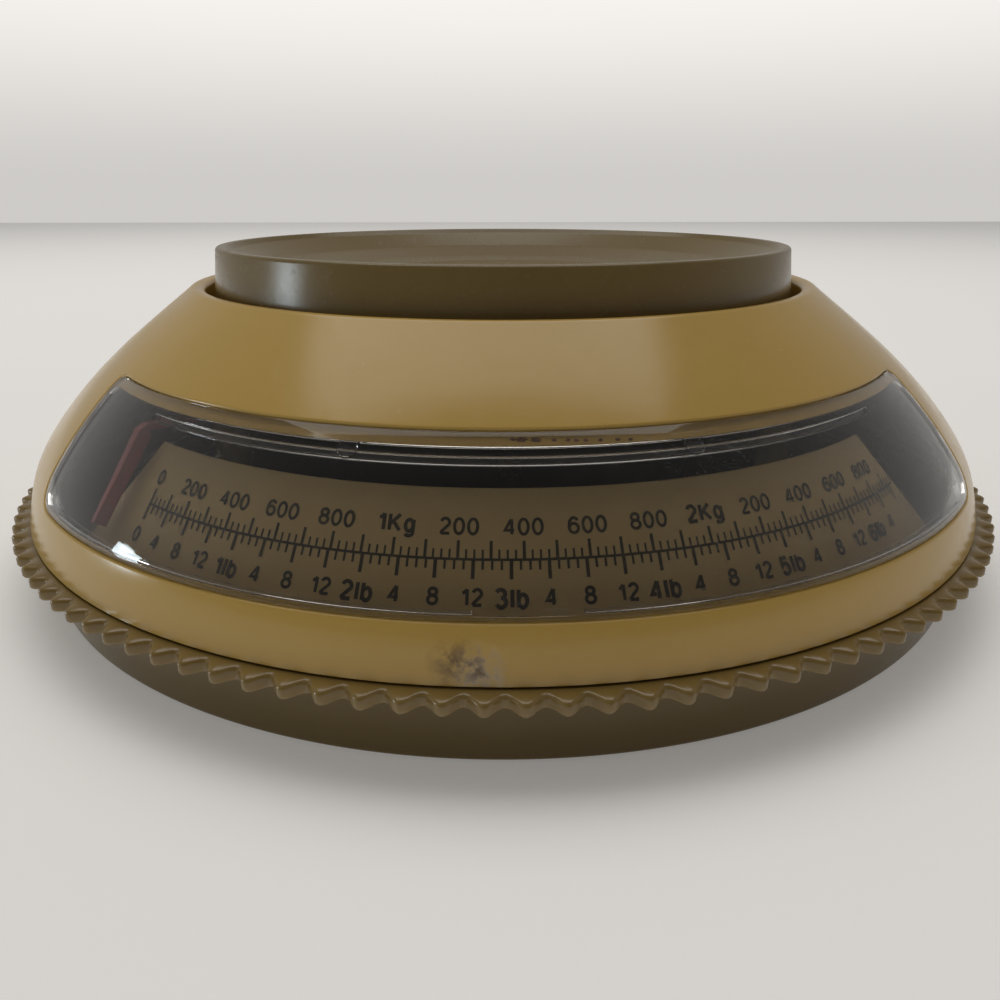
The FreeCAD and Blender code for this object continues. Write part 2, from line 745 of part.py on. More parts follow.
def build():
    os.makedirs("parts", exist_ok=True)
    save("base_tray", base_tray())
    save("rubber_feet", rubber_feet())
    save("chassis_plate", chassis_plate())
    chassis_screw_z = chassis_top + 1.5
    chassis_screw_points = [
        at(chassis_screw_r, azimuth, chassis_screw_z) for azimuth in chassis_screw_azimuths
    ]
    save("chassis_screws", screws_down(chassis_screw_points, 2.6, 1.6, self_tap_r, 5.5))
    save("mechanism_housing", mechanism_housing())
    save("calibration_screw", calibration_screw())
    save("guide_tower", guide_tower())
    save("bridge_posts", bridge_posts())
    save("bridge_plate", bridge_plate())
    bridge_screw_points = [point + Z_AXIS * bridge_top for point in bridge_post_points]
    save("bridge_screws", screws_down(bridge_screw_points, 2.2, 1.3, 1.0, 6.0))
    save("rack_guides", rack_guides())
    save("crank_bracket", crank_bracket())
    save("crank_pivot_pin", crank_pivot_pin())
    save("retaining_clip", retaining_clip())
    save("main_spring", main_spring())
    save("cover_shell", cover_shell())
    save("window_lens", window_lens())
    cover_screw_points = [at(post_ring_r, azimuth, cover_screw_seat) for azimuth in post_azimuths]
    save("cover_screws", screws_up(cover_screw_points, cover_screw_head_r, 1.8, self_tap_r, 9.5))
    save("ring_spring", ring_spring())
    save("zero_ring", zero_ring())
    save("dial_plate", dial_plate())
    save("dial_screws", screws_up(dial_screw_points, 1.5, 1.1, dial_screw_r, 3.6))
    save("load_platform", load_platform())
    save("plunger", plunger())
    save("cross_pin", cross_pin())
    save("spring_collar", spring_collar())
    save("platform_screw", screws_down([Z_AXIS * (platform_top - platform_plate)], 2.9, 1.7, self_tap_r, 7.0))
    save("weighing_pan", weighing_pan())
    save("bell_crank", bell_crank())
    save("rack_bar", rack_bar())
    save("rack_pin", rack_pin())
    save("pointer_gear", pointer_gear())
    save("pointer", pointer())


build()
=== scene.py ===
import math
import bpy
import bmesh
import numpy as np
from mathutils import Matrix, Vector
from mathutils.geometry import delaunay_2d_cdt


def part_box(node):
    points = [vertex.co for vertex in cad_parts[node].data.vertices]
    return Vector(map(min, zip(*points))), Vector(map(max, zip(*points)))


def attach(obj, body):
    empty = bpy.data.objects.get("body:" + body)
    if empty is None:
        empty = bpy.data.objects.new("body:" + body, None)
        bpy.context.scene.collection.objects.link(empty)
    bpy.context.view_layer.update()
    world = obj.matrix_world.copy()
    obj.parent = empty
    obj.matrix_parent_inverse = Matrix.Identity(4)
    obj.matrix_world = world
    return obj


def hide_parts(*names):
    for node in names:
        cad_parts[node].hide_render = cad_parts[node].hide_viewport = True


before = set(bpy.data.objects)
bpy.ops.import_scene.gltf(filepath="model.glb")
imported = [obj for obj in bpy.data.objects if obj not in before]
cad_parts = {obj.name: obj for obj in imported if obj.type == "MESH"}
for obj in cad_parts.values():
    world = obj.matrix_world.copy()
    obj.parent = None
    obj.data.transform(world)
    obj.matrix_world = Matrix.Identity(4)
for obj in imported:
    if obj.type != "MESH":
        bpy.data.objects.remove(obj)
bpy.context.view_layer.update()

# A mechanical kitchen scale. Outlines are (radius, height) pairs in millimetres, turned about Z.
# An azimuth is in degrees from the front (-Y) towards +X. Meshes are built in millimetres and scaled.
MM = 0.001


def in_mm(corner):
    return [value / MM for value in corner]


ring_high = in_mm(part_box("zero_ring")[1])
base_low, base_high = (in_mm(corner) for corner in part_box("base_tray"))
pan_low, pan_high = (in_mm(corner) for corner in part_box("weighing_pan"))
dial_high = in_mm(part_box("dial_plate")[1])

RING_TIP_R = ring_high[0]
RING_TOP = ring_high[2]
RING_BOTTOM = 12.0
TOOTH_ROOT_R = 107.9
COVER_BOTTOM = 14.7
DOME = [
    (106.6, COVER_BOTTOM), (104.5, 23.0), (100.0, 30.5), (93.7, 37.9), (87.0, 44.3), (79.0, 50.9),
    (72.6, 55.9),
]
COVER_WALL = 2.2
COLLAR_R = 68.0
WELL_TOP = 44.5
WELL_BOTTOM = 42.5
POST_AZIMUTHS = (75, 150, 210, 285)

WINDOW_LOW_AZIMUTH = 55.2
WINDOW_TOP_AZIMUTH = 57.6
LEDGE_DEPTH = 1.2
LEDGE_SIDE = 0.7
LEDGE_TOP = 2.3
LENS_WALL = 2.4

DIAL_SLOPE = math.radians(34.1)
DIAL_TOP = (86.7, dial_high[2])
DIAL_WALL = 1.5
ZERO_AZIMUTH = -41.5
DEGREES_PER_KG = 29.63
OUNCE_KG = 0.0283495

POINTER_AZIMUTH = -46.3


# ---------------------------------------------------------------- mesh tools
def point_at(radius, azimuth, z):
    angle = math.radians(azimuth)
    return Vector((radius * math.sin(angle), -radius * math.cos(angle), z))


def add_object(name, vertices, faces, material, body, slot, smooth=True):
    mesh = bpy.data.meshes.new(name)
    mesh.from_pydata([tuple(v) for v in vertices], [], [tuple(f) for f in faces])
    work = bmesh.new()
    work.from_mesh(mesh)
    bmesh.ops.scale(work, vec=(MM, MM, MM), verts=work.verts)
    bmesh.ops.remove_doubles(work, verts=work.verts, dist=1e-6)
    bmesh.ops.dissolve_degenerate(work, edges=work.edges, dist=1e-7)
    bmesh.ops.recalc_face_normals(work, faces=work.faces)
    work.to_mesh(mesh)
    work.free()
    for polygon in mesh.polygons:
        polygon.use_smooth = smooth
    obj = bpy.data.objects.new(name, mesh)
    bpy.context.scene.collection.objects.link(obj)
    mesh.materials.append(material)
    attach(obj, body)
    return obj


def sharp_by_angle(obj, degrees=38):
    """Mark edges sharper than the angle, so flat faces stay crisp on a smooth-shaded mesh."""
    work = bmesh.new()
    work.from_mesh(obj.data)
    limit = math.radians(degrees)
    for edge in work.edges:
        if len(edge.link_faces) == 2 and edge.calc_face_angle() > limit:
            edge.smooth = False
    work.to_mesh(obj.data)
    work.free()


def rounded(points, closed=False, steps=5):
    """Outline whose corners (x, y, radius) are rounded by arcs."""
    result = []
    count = len(points)
    for index, (x, y, radius) in enumerate(points):
        is_end = not closed and index in (0, count - 1)
        if radius <= 0 or is_end:
            result.append((x, y))
            continue
        corner = Vector((x, y))
        before = Vector(points[index - 1][:2]) - corner
        after = Vector(points[(index + 1) % count][:2]) - corner
        half = before.angle(after) / 2
        reach = min(radius / math.tan(half), 0.49 * before.length, 0.49 * after.length)
        start = corner + before.normalized() * reach
        end = corner + after.normalized() * reach
        for step in range(steps + 1):
            t = step / steps
            ease = (1 - t) * (1 - t), 2 * t * (1 - t), t * t
            result.append(tuple(start * ease[0] + corner * ease[1] + end * ease[2]))
    return result


def lathe_faces(outline, segments, closed=True, azimuth_range=(0.0, 360.0)):
    """Vertices and faces of an outline turned about Z. A full turn joins up with itself."""
    full = azimuth_range[1] - azimuth_range[0] >= 360
    columns = segments if full else segments + 1
    step = (azimuth_range[1] - azimuth_range[0]) / segments
    rows = len(outline)
    vertices = []
    for column in range(columns):
        azimuth = azimuth_range[0] + column * step
        vertices += [point_at(max(radius, 0.0), azimuth, z) for radius, z in outline]
    faces = []
    row_count = rows if closed else rows - 1
    for column in range(segments):
        following = (column + 1) % columns
        for row in range(row_count):
            upper = (row + 1) % rows
            faces.append((column * rows + row, following * rows + row,
                          following * rows + upper, column * rows + upper))
    if not full and closed:
        faces.append(tuple(range(rows)))
        faces.append(tuple(reversed(range(segments * rows, segments * rows + rows))))
    return vertices, faces


def merge(*parts):
    """Join (vertices, faces) pairs into one."""
    vertices = []
    faces = []
    for part_vertices, part_faces in parts:
        base = len(vertices)
        vertices += list(part_vertices)
        faces += [tuple(index + base for index in face) for face in part_faces]
    return vertices, faces


def moved(part, offset):
    offset = Vector(offset)
    return [Vector(v) + offset for v in part[0]], part[1]


# ---------------------------------------------------------------- the dome surface
def natural_spline(points):
    """Cubic spline through the points, by distance along them."""
    data = np.array(points, float)
    chords = np.hypot(*np.diff(data, axis=0).T)
    knots = np.concatenate([[0], np.cumsum(chords)])
    count = len(points)
    matrix = np.zeros((count, count))
    right = np.zeros((count, 2))
    matrix[0, 0] = matrix[-1, -1] = 1
    for index in range(1, count - 1):
        left, ahead = chords[index - 1], chords[index]
        matrix[index, index - 1: index + 2] = left, 2 * (left + ahead), ahead
        slopes = (data[index + 1] - data[index]) / ahead - (data[index] - data[index - 1]) / left
        right[index] = 6 * slopes
    bend = np.linalg.solve(matrix, right)

    def value(distance):
        index = int(np.clip(np.searchsorted(knots, distance) - 1, 0, count - 2))
        h = chords[index]
        a = (knots[index + 1] - distance) / h
        b = (distance - knots[index]) / h
        curve = ((a ** 3 - a) * bend[index] + (b ** 3 - b) * bend[index + 1]) * h * h / 6
        return a * data[index] + b * data[index + 1] + curve

    return value, knots


dome_curve, dome_knots = natural_spline(DOME)
DOME_LENGTH = float(dome_knots[-1])
WINDOW_LOW_S = float(dome_knots[1])
WINDOW_TOP_S = float(dome_knots[4])


def dome_point(s, depth=0.0):
    """(radius, z) at a distance up the dome and a depth below its outer surface."""
    step = 0.05
    here = dome_curve(s)
    tangent = dome_curve(min(s + step, DOME_LENGTH)) - dome_curve(max(s - step, 0.0))
    tangent /= np.hypot(*tangent)
    return float(here[0] - depth * tangent[1]), float(here[1] + depth * tangent[0])


def on_dome(azimuth, s, depth=0.0):
    radius, z = dome_point(s, depth)
    return point_at(radius, azimuth, z)


MEAN_R = 96.0
DEGREE_MM = MEAN_R * math.pi / 180
DOME_TOP_RADIUS = DOME[4][0]


def window_outline(inset, top_inset=None):
    """Closed loop of (across, up) millimetres on the dome: the window's outline drawn in by an inset."""
    top_inset = inset if top_inset is None else top_inset
    low_x = WINDOW_LOW_AZIMUTH * DEGREE_MM
    top_x = WINDOW_TOP_AZIMUTH * DEGREE_MM
    lean = (top_x - low_x) / (WINDOW_TOP_S - WINDOW_LOW_S)
    low_s = WINDOW_LOW_S + inset
    top_s = WINDOW_TOP_S - top_inset
    side = inset * math.hypot(1, lean)
    left_low = low_x + lean * (low_s - WINDOW_LOW_S) - side
    left_top = low_x + lean * (top_s - WINDOW_LOW_S) - side
    low_radius = 7.0 - inset
    top_radius = 3.5 - inset
    corners = [(-left_low, low_s, low_radius), (left_low, low_s, low_radius),
               (left_top, top_s, top_radius), (-left_top, top_s, top_radius)]
    loop = rounded(corners, closed=True, steps=8)
    return densify(loop, (150, 16, 150, 16))


def densify(loop, counts):
    """Divide the four long sides of a rounded loop, keeping its corner points."""
    result = []
    per_corner = len(loop) // 4
    for corner in range(4):
        piece = loop[corner * per_corner:(corner + 1) * per_corner]
        result += piece
        start = Vector(piece[-1])
        end = Vector(loop[((corner + 1) * per_corner) % len(loop)])
        for step in range(1, counts[corner]):
            result.append(tuple(start.lerp(end, step / counts[corner])))
    return result


def inside_loop(point, loop):
    x, y = point
    inside = False
    previous = loop[-1]
    for corner in loop:
        if (corner[1] > y) != (previous[1] > y):
            cross = (previous[0] - corner[0]) * (y - corner[1]) / (previous[1] - corner[1]) + corner[0]
            if x < cross:
                inside = not inside
        previous = corner
    return inside


def triangulated(points, loops, keep):
    """Constrained triangles over the points and loops, kept where keep(centre) is true."""
    coordinates = [Vector(point) for point in points]
    edges = []
    for loop in loops:
        first = len(coordinates)
        coordinates += [Vector(point) for point in loop]
        count = len(loop)
        edges += [(first + index, first + (index + 1) % count) for index in range(count)]
    found = delaunay_2d_cdt(coordinates, edges, [], 0, 1e-6)
    vertices, triangles = found[0], found[2]
    kept = []
    for triangle in triangles:
        first, second, third = (vertices[index] for index in triangle)
        centre = (first + second + third) / 3
        is_sliver = abs((second - first).cross(third - first)) < 0.002
        if keep(centre) and not is_sliver:
            kept.append(tuple(triangle))
    return vertices, kept


def strip_between(lower, upper):
    """Quads between two loops that have the same number of points."""
    count = len(lower)
    faces = []
    for index in range(count):
        following = (index + 1) % count
        faces.append((index, following, count + following, count + index))
    return lower + upper, faces


def loop_on_dome(loop, depth):
    return [on_dome(x / DEGREE_MM, s, depth) for x, s in loop]


# ---------------------------------------------------------------- materials
class Nodes:
    """Small helper that builds one node material."""

    def __init__(self, name):
        self.material = bpy.data.materials.new(name)
        self.material.use_nodes = True
        self.tree = self.material.node_tree
        self.tree.nodes.clear()
        self.shader = self.add("ShaderNodeBsdfPrincipled")
        output = self.add("ShaderNodeOutputMaterial")
        self.link(self.shader.outputs[0], output.inputs[0])
        self.place = self.add("ShaderNodeTexCoord").outputs["Object"]

    def add(self, kind, **values):
        node = self.tree.nodes.new(kind)
        for key, value in values.items():
            if hasattr(node, key):
                setattr(node, key, value)
            else:
                node.inputs[key].default_value = value
        return node

    def link(self, source, target):
        self.tree.links.new(source, target)

    def set(self, **values):
        for key, value in values.items():
            self.shader.inputs[key.replace("_", " ")].default_value = value

    def noise(self, scale, detail=4.0, roughness=0.55, stretch=None):
        node = self.add("ShaderNodeTexNoise")
        node.inputs["Scale"].default_value = scale
        node.inputs["Detail"].default_value = detail
        node.inputs["Roughness"].default_value = roughness
        place = self.place
        if stretch:
            mapping = self.add("ShaderNodeMapping")
            mapping.inputs["Scale"].default_value = stretch
            self.link(place, mapping.inputs["Vector"])
            place = mapping.outputs[0]
        self.link(place, node.inputs["Vector"])
        return node.outputs["Fac"]

    def ramp(self, source, *stops):
        node = self.add("ShaderNodeValToRGB")
        elements = node.color_ramp.elements
        while len(elements) < len(stops):
            elements.new(0.5)
        for element, (position, value) in zip(elements, stops):
            element.position = position
            element.color = (value, value, value, 1) if isinstance(value, (int, float)) else (*value, 1)
        self.link(source, node.inputs["Fac"])
        return node.outputs["Color"]

    def mix(self, factor, first, second, mode="MIX"):
        node = self.add("ShaderNodeMix")
        node.data_type = "RGBA"
        node.blend_type = mode
        for value, index in ((factor, 0), (first, 6), (second, 7)):
            if isinstance(value, bpy.types.NodeSocket):
                self.link(value, node.inputs[index])
            elif isinstance(value, (int, float)):
                node.inputs[index].default_value = value
            else:
                node.inputs[index].default_value = (*value, 1)
        return node.outputs[2]

    def scaled(self, source, low, high):
        node = self.add("ShaderNodeMapRange")
        node.inputs["To Min"].default_value = low
        node.inputs["To Max"].default_value = high
        self.link(source, node.inputs["Value"])
        return node.outputs["Result"]

    def bump(self, source, strength, distance):
        node = self.add("ShaderNodeBump")
        node.inputs["Strength"].default_value = strength
        node.inputs["Distance"].default_value = distance
        self.link(source, node.inputs["Height"])
        if self.shader.inputs["Normal"].links:
            self.link(self.shader.inputs["Normal"].links[0].from_socket, node.inputs["Normal"])
        self.link(node.outputs["Normal"], self.shader.inputs["Normal"])

    def colour(self, value):
        self.link(value, self.shader.inputs["Base Color"])

    def roughness(self, value):
        self.link(value, self.shader.inputs["Roughness"])


def soft_patch(mat, colour, centre, radius, tone, strength):
    """Blurred, broken patch of another tone around a point."""
    away = mat.add("ShaderNodeVectorMath", operation="DISTANCE")
    mat.link(mat.place, away.inputs[0])
    away.inputs[1].default_value = centre * MM
    near = mat.ramp(away.outputs["Value"], (0.0, strength), (radius * MM, 0.0))
    broken = mat.ramp(mat.noise(650.0, 5.0, 0.6), (0.42, 0.15), (0.58, 1.0))
    return mat.mix(mat.mix(1.0, near, broken, "MULTIPLY"), colour, tone)


def moulded_plastic(name, base, dark, light, rough=(0.16, 0.30), level=0.5, patches=()):
    """Old glossy plastic: mottled colour, worn patches, hairline scratches and a faint orange peel."""
    mat = Nodes(name)
    broad = mat.noise(9.0, 3.0)
    fine = mat.noise(900.0, 2.0)
    colour = mat.mix(mat.ramp(broad, (0.35, 0.0), (0.75, 0.55)), base, dark)
    colour = mat.mix(mat.ramp(mat.noise(34.0, 6.0, 0.7), (0.52, 0.0), (0.8, 0.35)), colour, light)
    colour = mat.mix(mat.scaled(fine, 0.0, 0.10), colour, dark)
    for patch in patches:
        colour = soft_patch(mat, colour, *patch)
    mat.colour(colour)
    wear = mat.noise(60.0, 8.0, 0.75)
    scratch = mat.ramp(mat.noise(420.0, 2.0, 0.5, (1.0, 0.05, 1.0)), (0.60, 0.0), (0.66, 1.0))
    both = mat.mix(0.35, mat.ramp(wear, (0.3, 0.0), (0.75, 1.0)), scratch)
    mat.roughness(mat.scaled(both, *rough))
    mat.bump(mat.noise(260.0, 2.0), 0.05, 0.0004)
    mat.bump(fine, 0.03, 0.0001)
    mat.set(Specular_IOR_Level=level, IOR=1.5)
    return mat.material


def clear_window():
    mat = Nodes("clear_window")
    haze = mat.ramp(mat.noise(55.0, 6.0, 0.7), (0.45, 0.0), (0.85, 1.0))
    worn = mat.ramp(mat.noise(16.0, 3.0), (0.50, 0.0), (0.70, 0.8))
    upright = mat.ramp(mat.noise(2600.0, 2.0, 0.5, (1.0, 1.0, 0.06)), (0.64, 0.0), (0.69, 0.8))
    slanted = mat.ramp(mat.noise(2000.0, 2.0, 0.5, (0.07, 1.0, 0.9)), (0.67, 0.0), (0.71, 0.8))
    scratch = mat.mix(worn, (0.0, 0.0, 0.0), mat.mix(0.5, upright, slanted))
    mat.roughness(mat.scaled(mat.mix(0.5, haze, scratch), 0.02, 0.20))
    mat.bump(scratch, 0.12, 0.0001)
    mat.link(mat.scaled(scratch, 1.0, 0.55), mat.shader.inputs["Transmission Weight"])
    mat.set(IOR=1.42, Base_Color=(0.93, 0.925, 0.92, 1))
    return mat.material


def printed_dial():
    mat = Nodes("dial_face")
    cloud = mat.noise(26.0, 5.0, 0.65)
    colour = mat.mix(mat.ramp(cloud, (0.35, 0.0), (0.8, 0.6)), (0.56, 0.40, 0.18), (0.44, 0.31, 0.13))
    colour = mat.mix(mat.scaled(mat.noise(1500.0, 2.0), 0.0, 0.12), colour, (0.10, 0.08, 0.05))
    mat.colour(colour)
    mat.roughness(mat.scaled(mat.noise(120.0, 4.0), 0.42, 0.60))
    mat.bump(mat.noise(1300.0, 2.0), 0.08, 0.0001)
    return mat.material


def printing_ink():
    mat = Nodes("printing_ink")
    worn = mat.ramp(mat.noise(700.0, 6.0, 0.7), (0.40, 0.0), (0.75, 0.5))
    mat.colour(mat.mix(worn, (0.045, 0.034, 0.018), (0.11, 0.085, 0.045)))
    mat.roughness(mat.scaled(mat.noise(400.0), 0.40, 0.62))
    return mat.material


def enamel_red():
    mat = Nodes("enamel_red")
    mat.colour(mat.mix(mat.noise(90.0, 5.0), (0.42, 0.035, 0.018), (0.24, 0.018, 0.012)))
    mat.roughness(mat.scaled(mat.noise(300.0, 4.0), 0.28, 0.45))
    mat.bump(mat.noise(900.0, 2.0), 0.06, 0.0001)
    return mat.material


def metal(name, colour, dark, rough, stretch):
    """Plated or turned metal with directional fine lines and stains."""
    mat = Nodes(name)
    lines = mat.noise(700.0, 3.0, 0.6, stretch)
    stain = mat.ramp(mat.noise(70.0, 6.0, 0.7), (0.45, 0.0), (0.8, 1.0))
    mat.colour(mat.mix(mat.mix(0.5, stain, lines), colour, dark))
    mat.roughness(mat.scaled(lines, *rough))
    mat.bump(lines, 0.15, 0.0001)
    mat.set(Metallic=1.0)
    return mat.material


def rubber():
    mat = Nodes("foot_rubber")
    mat.colour(mat.mix(mat.noise(120.0, 6.0, 0.7), (0.018, 0.018, 0.018), (0.06, 0.055, 0.05)))
    mat.roughness(mat.scaled(mat.noise(300.0, 4.0), 0.6, 0.85))
    mat.bump(mat.noise(1500.0, 2.0), 0.2, 0.0001)
    return mat.material


FADED = (0.95, 0.85, 0.64)
SMUDGE = (0.13, 0.065, 0.018)
BAND_PATCHES = [
    (on_dome(-3.6, 2.6), 3.4, FADED, 0.6), (on_dome(-3.7, 0.7), 1.9, FADED, 1.0),
    (on_dome(-3.5, 2.0), 1.2, SMUDGE, 0.95), (on_dome(-5.5, 3.2), 1.0, SMUDGE, 0.85),
    (on_dome(-4.5, 2.7), 0.75, SMUDGE, 0.7),
]
CREAM = moulded_plastic("cream_cover", (0.60, 0.385, 0.095), (0.50, 0.31, 0.062), (0.66, 0.44, 0.135),
                        patches=BAND_PATCHES)
OLIVE = moulded_plastic("olive_pan", (0.20, 0.14, 0.05), (0.155, 0.107, 0.034), (0.24, 0.175, 0.07),
                        (0.2, 0.34), 0.35)
RING_OLIVE = moulded_plastic("olive_ring", (0.25, 0.165, 0.05), (0.19, 0.125, 0.034), (0.30, 0.205, 0.07))
# The base is the same olive plastic as the pan and ring, made darker as painted shade for its low,
# downward-facing sides.
SHADED_BASE_OLIVE = moulded_plastic("olive_base_painted_shade", (0.135, 0.084, 0.015), (0.10, 0.062, 0.010),
                             (0.165, 0.105, 0.024))
DRUM = moulded_plastic("drum_grey", (0.075, 0.060, 0.035), (0.05, 0.04, 0.022), (0.11, 0.09, 0.055),
                       (0.4, 0.6))
WHITE = moulded_plastic("gear_white", (0.55, 0.53, 0.46), (0.42, 0.40, 0.34), (0.64, 0.62, 0.55),
                        (0.35, 0.5))
CLEAR = clear_window()
DIAL = printed_dial()
INK = printing_ink()
RED = enamel_red()
ZINC = metal("zinc_plate", (0.42, 0.41, 0.38), (0.20, 0.18, 0.14), (0.28, 0.50), (1.0, 0.04, 1.0))
BRIGHT = metal("turned_steel", (0.50, 0.50, 0.49), (0.28, 0.27, 0.25), (0.18, 0.36), (1.0, 1.0, 14.0))
SPRING = metal("spring_steel", (0.22, 0.21, 0.20), (0.10, 0.09, 0.08), (0.25, 0.45), (4.0, 4.0, 1.0))
BRASS = metal("turned_brass", (0.50, 0.34, 0.12), (0.28, 0.18, 0.06), (0.20, 0.40), (1.0, 1.0, 12.0))
RUBBER = rubber()
RUST = moulded_plastic("rusty_stain", (0.19, 0.085, 0.025), (0.12, 0.05, 0.015), (0.34, 0.20, 0.08),
                       (0.4, 0.7))


# ---------------------------------------------------------------- cover
ROW_MM = 1.2
HOLE_EDGE = 0.5
ON_SURFACE_MM = 0.02
NEARLY_ALONG = 0.92


def cover_skin(depth, outline, azimuth_limit=66):
    """The dome's wall at one depth, all round, with a hole of that outline at the front."""
    rows = max(2, round(DOME_LENGTH / ROW_MM))
    heights = [DOME_LENGTH * row / rows for row in range(rows + 1)]
    side_outline = [dome_point(s, depth) for s in heights]
    side = lathe_faces(side_outline, 360 - 2 * azimuth_limit, False, (azimuth_limit, 360 - azimuth_limit))
    margin = 0.75
    points = []
    for azimuth in range(-azimuth_limit, azimuth_limit + 1):
        for s in heights:
            x = azimuth * DEGREE_MM
            near = inside_loop((x, s), outline) or distance_to_loop((x, s), outline) < margin
            if not near:
                points.append((x, s))
    vertices, triangles = triangulated(points, [outline], lambda centre: not inside_loop(centre, outline))
    front = [on_dome(v.x / DEGREE_MM, v.y, depth) for v in vertices], triangles
    return merge(side, front)


def distance_to_loop(point, loop):
    loop_points = np.array(loop)
    return float(np.min(np.hypot(loop_points[:, 0] - point[0], loop_points[:, 1] - point[1])))


def follow_dome(obj, depths):
    """Give the corners that lie on the dome's surface, at any of the depths, the dome's own normal."""
    mesh = obj.data
    heights = np.linspace(0, DOME_LENGTH, 1500)
    outlines = [np.array([dome_point(s, depth) for s in heights]) for depth in depths]
    slopes = np.gradient(outlines[0], axis=0)
    slopes /= np.hypot(slopes[:, 0], slopes[:, 1])[:, None]
    on_surface = {}
    for vertex in mesh.vertices:
        x, y, z = vertex.co / MM
        radius = math.hypot(x, y)
        for outline in outlines:
            gaps = np.hypot(outline[:, 0] - radius, outline[:, 1] - z)
            nearest = int(np.argmin(gaps))
            if gaps[nearest] < ON_SURFACE_MM:
                out, rise = slopes[nearest][1], -slopes[nearest][0]
                on_surface[vertex.index] = Vector((out * x / radius, out * y / radius, rise))
                break
    normals = [corner.vector.copy() for corner in mesh.corner_normals]
    for loop in mesh.loops:
        found = on_surface.get(loop.vertex_index)
        if found and abs(normals[loop.index].dot(found)) > NEARLY_ALONG:
            facing = 1 if normals[loop.index].dot(found) > 0 else -1
            normals[loop.index] = found * facing
    mesh.normals_split_custom_set(normals)


def hole_walls():
    """The window's reveal: a rounded outer edge, a ledge for the lens and the edge behind it."""
    profile = []
    steps = 4
    for step in range(steps + 1):
        turn = math.pi / 2 * step / steps
        profile.append((-HOLE_EDGE * (1 - math.sin(turn)), HOLE_EDGE * (1 - math.cos(turn)), False))
    profile += [(0.0, LEDGE_DEPTH, False), (LEDGE_SIDE, LEDGE_DEPTH, True),
                (LEDGE_SIDE, COVER_WALL, True)]
    loops = []
    for inset, depth, is_ledge in profile:
        loop = window_outline(inset, LEDGE_TOP if is_ledge else None)
        loops.append(loop_on_dome(loop, depth))
    parts = [strip_between(low, high) for low, high in zip(loops, loops[1:])]
    return merge(*parts)


def build_cover():
    outer = cover_skin(0.0, window_outline(-HOLE_EDGE))
    inner = cover_skin(COVER_WALL, window_outline(LEDGE_SIDE, LEDGE_TOP))
    crest_end = dome_point(DOME_LENGTH)
    inner_end = dome_point(DOME_LENGTH, COVER_WALL)
    collar_outer = COLLAR_R + 2.0
    lip = rounded([(*crest_end, 0), (70.6, 57.55, 1.6), (COLLAR_R, 57.2, 1.5), (COLLAR_R, WELL_TOP, 1.2),
                   (9.0, WELL_TOP, 0.4), (9.0, WELL_BOTTOM, 0.4), (collar_outer, WELL_BOTTOM, 1.5),
                   (collar_outer, inner_end[1] - 0.5, 0.5), (*inner_end, 0)], steps=7)
    body = lathe_faces(lip, 360, False)
    foot = lathe_faces([dome_point(0.0, COVER_WALL), (DOME[0][0] - COVER_WALL, COVER_BOTTOM + 0.05),
                        (DOME[0][0] - 0.25, COVER_BOTTOM + 0.05), dome_point(0.0)], 360, False)
    posts = []
    post_ring_r = 66.0
    post_outline = [(1.25, 15.0, 0), (1.25, 6.0, 0.3), (4.2, 6.0, 0.5), (4.0, WELL_BOTTOM + 0.6, 0)]
    for azimuth in POST_AZIMUTHS:
        post = lathe_faces(rounded(post_outline), 32, False)
        posts.append(moved(post, point_at(post_ring_r, azimuth, 0)))
    vertices, faces = merge(outer, inner, hole_walls(), body, foot, *posts)
    cover = add_object("cover", vertices, faces, CREAM, "base", "cream_plastic")
    sharp_by_angle(cover, 40)
    follow_dome(cover, (0.0, COVER_WALL))
    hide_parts("cover_shell")


# ---------------------------------------------------------------- window lens
def lens_skin(depth, outline):
    rows = 14
    columns = 150
    low_x = 1.08 * WINDOW_TOP_AZIMUTH * DEGREE_MM
    points = []
    for column in range(columns + 1):
        x = -low_x + 2 * low_x * column / columns
        for row in range(rows + 1):
            s = WINDOW_LOW_S + (WINDOW_TOP_S - WINDOW_LOW_S) * row / rows
            if inside_loop((x, s), outline) and distance_to_loop((x, s), outline) > 0.8:
                points.append((x, s))
    vertices, triangles = triangulated(points, [outline], lambda centre: inside_loop(centre, outline))
    return [on_dome(v.x / DEGREE_MM, v.y, depth) for v in vertices], triangles


def dome_rib(s_range, depths, azimuths, edge=0.15):
    """Raised rib on the inside of the lens, with rounded free edges."""
    low, high = s_range
    top, tip = depths
    corners = [(low, top, 0), (low, tip, edge), (high, tip, edge), (high, top, 0)]
    section = rounded(corners, steps=3)
    outline = [dome_point(s, depth) for s, depth in section]
    count = max(6, int(abs(azimuths[1] - azimuths[0])))
    return lathe_faces(outline, count, True, azimuths)


RIB_START = LENS_WALL - 0.02
TOP_RIB_AZIMUTH = 43.3
LOW_RIB_AZIMUTH = 50.0
NOTCH_AZIMUTH = 4.3


def lens_peg(azimuth):
    """Short round peg on the lens's back, near its top."""
    radius = 1.6
    proud = 0.6
    edge = 0.15
    sides = 32
    peg_s = WINDOW_TOP_S - 3.2
    vertices = []
    tip = LENS_WALL + proud
    for depth, reach in ((RIB_START, radius), (tip - edge, radius), (tip, radius - edge)):
        for side in range(sides):
            turn = 2 * math.pi * side / sides
            across = reach * math.cos(turn) / DOME_TOP_RADIUS
            peg_up = peg_s + reach * math.sin(turn)
            vertices.append(on_dome(azimuth + math.degrees(across), peg_up, depth))
    faces = []
    for row in (0, sides):
        for side in range(sides):
            following = (side + 1) % sides
            faces.append((row + side, row + following, row + sides + following, row + sides + side))
    faces += [tuple(reversed(range(sides))), tuple(range(2 * sides, 3 * sides))]
    return vertices, faces


